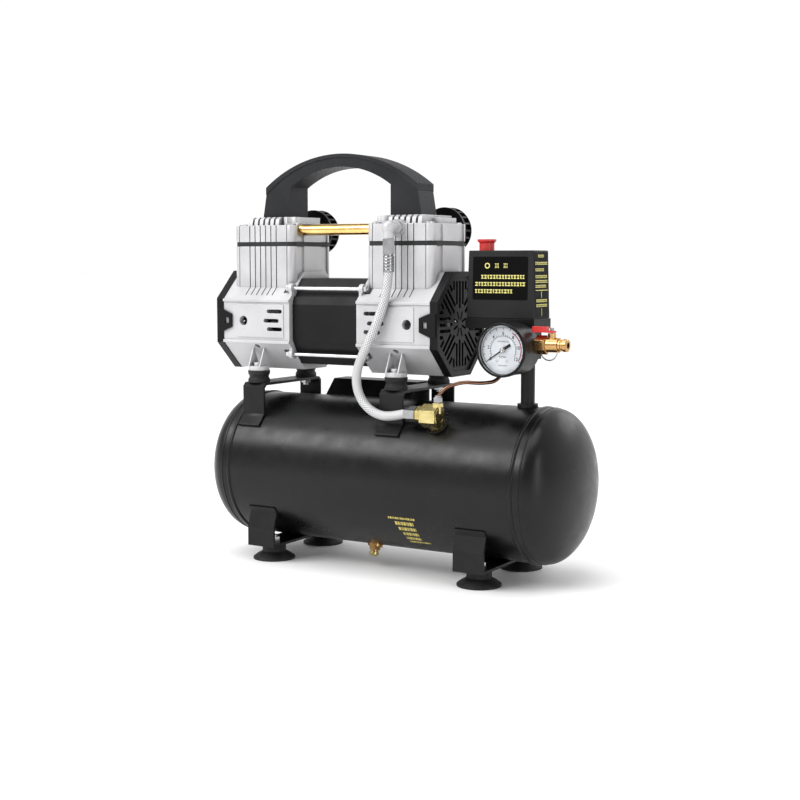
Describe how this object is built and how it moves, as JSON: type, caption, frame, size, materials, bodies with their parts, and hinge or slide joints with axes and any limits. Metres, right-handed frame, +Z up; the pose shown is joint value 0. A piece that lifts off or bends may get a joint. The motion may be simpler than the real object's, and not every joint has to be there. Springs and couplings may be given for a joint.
{
  "type": "air compressor",
  "caption": "Oil-free twin-cylinder electric air compressor on a horizontal tank, with carry handle, pressure switch, gauge, braided delivery hose and suction feet.",
  "frame": {"origin": "on the floor under the middle of the tank, at the centre of the bounding box's underside", "axes": "+X along the tank towards the gauge end, -Y towards the hose side, +Z up"},
  "size_m": [0.453, 0.168, 0.457],
  "materials": {
    "tank_paint": "satin powder coat",
    "bracket_paint": "satin powder coat",
    "black_rubber": "matte",
    "zinc_steel": "zinc plated",
    "black_plastic": "moulded, fine grain",
    "capacitor_can": "drawn can",
    "brass": "machined",
    "cast_aluminium": "die cast, fine blasted",
    "dark_gasket": "pressed",
    "copper_pipe": "drawn, polished",
    "motor_enamel": "enamelled laminations",
    "copper_wire": "varnished wire",
    "charcoal_plastic": "moulded",
    "charcoal_grip": "soft touch",
    "nickel_plate": "plated",
    "steel_braid": "rubber hose under a steel wire braid",
    "dial_face": "printed",
    "needle_black": "satin",
    "clear_lens": "clear",
    "red_plastic": "moulded",
    "switch_plastic": "moulded"
  },
  "bodies": {
    "frame": {"tank_shell": "tank_paint", "tank_heads": "tank_paint", "weld_beads": "tank_paint", "foot_bracket_left": "bracket_paint", "foot_bracket_right": "bracket_paint", "suction_feet": "black_rubber", "foot_bolts": "zinc_steel", "saddle_left": "bracket_paint", "saddle_right": "bracket_paint", "rubber_mounts": "black_rubber", "mount_bolts": "zinc_steel", "wiring_box": "black_plastic", "start_capacitor": "capacitor_can", "cable_gland": "black_plastic", "drain_valve": "brass", "crankcase_left": "cast_aluminium", "crankcase_right": "cast_aluminium", "cylinder_left": "cast_aluminium", "cylinder_right": "cast_aluminium", "valve_plates": "dark_gasket", "head_left": "cast_aluminium", "head_right": "cast_aluminium", "head_bolts": "zinc_steel", "crossover_pipe": "copper_pipe", "air_filters": "black_plastic", "end_covers": "black_plastic", "stator": "motor_enamel", "windings": "copper_wire", "bearings": "zinc_steel", "tie_rods": "zinc_steel", "handle_frame": "charcoal_plastic", "handle_grip": "charcoal_grip", "hose_elbow": "cast_aluminium", "line_fittings": "nickel_plate", "braided_hose": "steel_braid", "check_valve": "brass", "unloader_tube": "copper_pipe", "riser_pipe": "bracket_paint", "manifold_drum": "bracket_paint", "gauge_case": "black_plastic", "gauge_dial": "dial_face", "gauge_lens": "clear_lens", "outlet_valve": "brass", "quick_coupler": "brass", "safety_valve": "brass", "switch_base": "black_plastic", "switch_cover": "switch_plastic", "switch_contacts": "switch_plastic"},
    "rotor": {"rotor_shaft": "zinc_steel", "eccentrics": "cast_aluminium", "cooling_fans": "black_plastic"},
    "rod_left": {"piston_left": "cast_aluminium"},
    "rod_right": {"piston_right": "cast_aluminium"},
    "outlet_handle": {"outlet_lever": "red_plastic", "outlet_valve_ball": "nickel_plate"},
    "power_knob": {"switch_knob": "red_plastic"},
    "relief_stem": {"safety_stem": "brass"},
    "relief_ring": {"safety_ring": "zinc_steel"},
    "drain_knob": {"drain_screw": "brass"},
    "needle": {"gauge_needle": "needle_black"}
  },
  "joints": [
    {"name": "shaft_spin", "type": "hinge", "parent": "frame", "child": "rotor", "pos_m": [-0.0678, 0, 0.271], "axis": [1, 0, 0], "continuous": true},
    {"name": "rod_left_swing", "type": "hinge", "parent": "rotor", "child": "rod_left", "pos_m": [-0.1578, 0, 0.277], "axis": [1, 0, 0], "continuous": true},
    {"name": "rod_right_swing", "type": "hinge", "parent": "rotor", "child": "rod_right", "pos_m": [0.0222, 0, 0.265], "axis": [1, 0, 0], "continuous": true},
    {"name": "outlet_turn", "type": "hinge", "parent": "frame", "child": "outlet_handle", "pos_m": [0.1994, -0.032, 0.2535], "axis": [0, 0, -1], "range_deg": [0, 90]},
    {"name": "power_press", "type": "slide", "parent": "frame", "child": "power_knob", "axis": [0, 0, -1], "range_m": [0, 0.007]},
    {"name": "relief_pull", "type": "slide", "parent": "frame", "child": "relief_stem", "axis": [0, 1, 0], "range_m": [0, 0.003], "stiffness_N_per_m": 1500},
    {"name": "relief_ring_swing", "type": "hinge", "parent": "relief_stem", "child": "relief_ring", "pos_m": [0.1742, 0.0164, 0.253], "axis": [1, 0, 0], "range_deg": [-12, 90]},
    {"name": "drain_turn", "type": "hinge", "parent": "frame", "child": "drain_knob", "pos_m": [-0.015, -0.027, 0.02504], "axis": [0, -0.3272, -0.9449], "range_deg": [0, 270]},
    {"name": "needle_turn", "type": "hinge", "parent": "frame", "child": "needle", "pos_m": [0.1558, -0.056, 0.2484], "axis": [0, 1, 0], "range_deg": [0, 246], "stiffness_Nm_per_rad": 0.0005, "springref_deg": -17.19}
  ],
  "couplings": [
    {"joint": "rod_left_swing", "follows": "shaft_spin", "ratio": -1},
    {"joint": "rod_right_swing", "follows": "shaft_spin", "ratio": -1}
  ]
}
